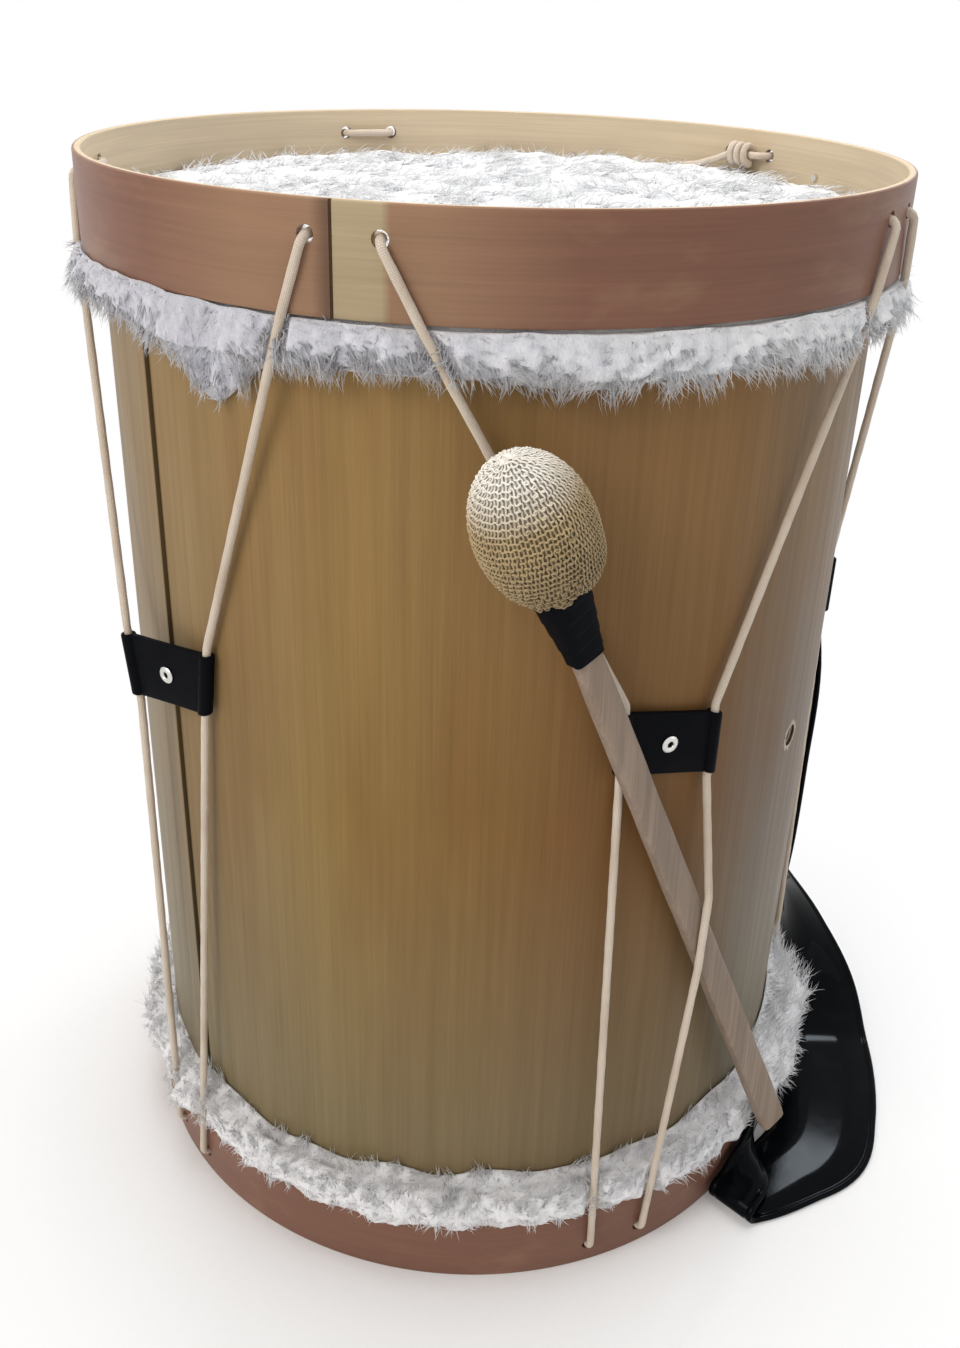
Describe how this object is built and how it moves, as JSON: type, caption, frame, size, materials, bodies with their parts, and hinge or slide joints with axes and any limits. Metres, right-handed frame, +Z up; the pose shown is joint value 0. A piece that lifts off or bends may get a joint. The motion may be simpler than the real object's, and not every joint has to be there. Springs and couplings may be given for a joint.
{
  "type": "bombo leguero drum",
  "caption": "Cord-laced drum with woolly skins, stained hoops, leather tension tabs that slide on the lacing, a knit-covered mallet tucked under it and a black shoulder strap.",
  "frame": {"origin": "centre of the lower hoop's rim, on the floor that the drum stands on and on the drum's axis", "axes": "+Z up along the drum's axis towards the played skin, -Y to the front where the mallet is tucked, +X to the side with the shoulder strap"},
  "size_m": [0.4777, 0.4538, 0.563],
  "materials": {
    "shell_veneer": "golden-brown stained plywood veneer, satin, grain upright",
    "hoop_wood": "reddish-brown stained bent wood, satin, bare and pale inside",
    "raw_wood": "bare pale wood",
    "sheep_wool": "white-grey wool left on the skin",
    "cream_cord": "cream laid cord",
    "tab_leather": "black leather, slight sheen",
    "gloss_leather": "black glossy leather",
    "straw_knit": "straw-coloured knitted cotton",
    "black_tape": "black wound tape",
    "nickel": "bright nickel plate"
  },
  "bodies": {
    "drum": {"shell": "shell_veneer", "top_reinforcing_ring": "raw_wood", "bottom_reinforcing_ring": "raw_wood", "top_head": "sheep_wool", "bottom_head": "sheep_wool", "top_flesh_hoop": "raw_wood", "bottom_flesh_hoop": "raw_wood", "top_hoop": "hoop_wood", "bottom_hoop": "hoop_wood", "lacing_cord": "cream_cord", "shoulder_strap": "gloss_leather", "strap_stud_upper": "nickel", "strap_stud_lower": "nickel", "seam_brad": "nickel"},
    "tab_1": {"tension_tab_1": "tab_leather", "tab_rivet_1": "nickel"},
    "tab_2": {"tension_tab_2": "tab_leather", "tab_rivet_2": "nickel"},
    "tab_3": {"tension_tab_3": "tab_leather", "tab_rivet_3": "nickel"},
    "tab_4": {"tension_tab_4": "tab_leather", "tab_rivet_4": "nickel"},
    "tab_5": {"tension_tab_5": "tab_leather", "tab_rivet_5": "nickel"},
    "mallet": {"mallet_shaft": "raw_wood", "mallet_core": "raw_wood", "mallet_cover": "straw_knit", "mallet_binding": "black_tape"}
  },
  "joints": [
    {"name": "tab_1_slide", "type": "slide", "parent": "drum", "child": "tab_1", "axis": [0, 0, 1], "range_m": [-0.03, 0.05], "deforming": ["lacing_cord"]},
    {"name": "tab_2_slide", "type": "slide", "parent": "drum", "child": "tab_2", "axis": [0, 0, 1], "range_m": [-0.1, 0.05], "deforming": ["lacing_cord"]},
    {"name": "tab_3_slide", "type": "slide", "parent": "drum", "child": "tab_3", "axis": [0, 0, 1], "range_m": [-0.1, 0.05], "deforming": ["lacing_cord"]},
    {"name": "tab_4_slide", "type": "slide", "parent": "drum", "child": "tab_4", "axis": [0, 0, 1], "range_m": [-0.1, 0.05], "deforming": ["lacing_cord"]},
    {"name": "tab_5_slide", "type": "slide", "parent": "drum", "child": "tab_5", "axis": [0, 0, 1], "range_m": [-0.1, 0.05], "deforming": ["lacing_cord"]},
    {"name": "mallet_draw", "type": "slide", "parent": "drum", "child": "mallet", "axis": [-0.3585, -0.2292, 0.9049], "range_m": [0, 0.2]}
  ]
}
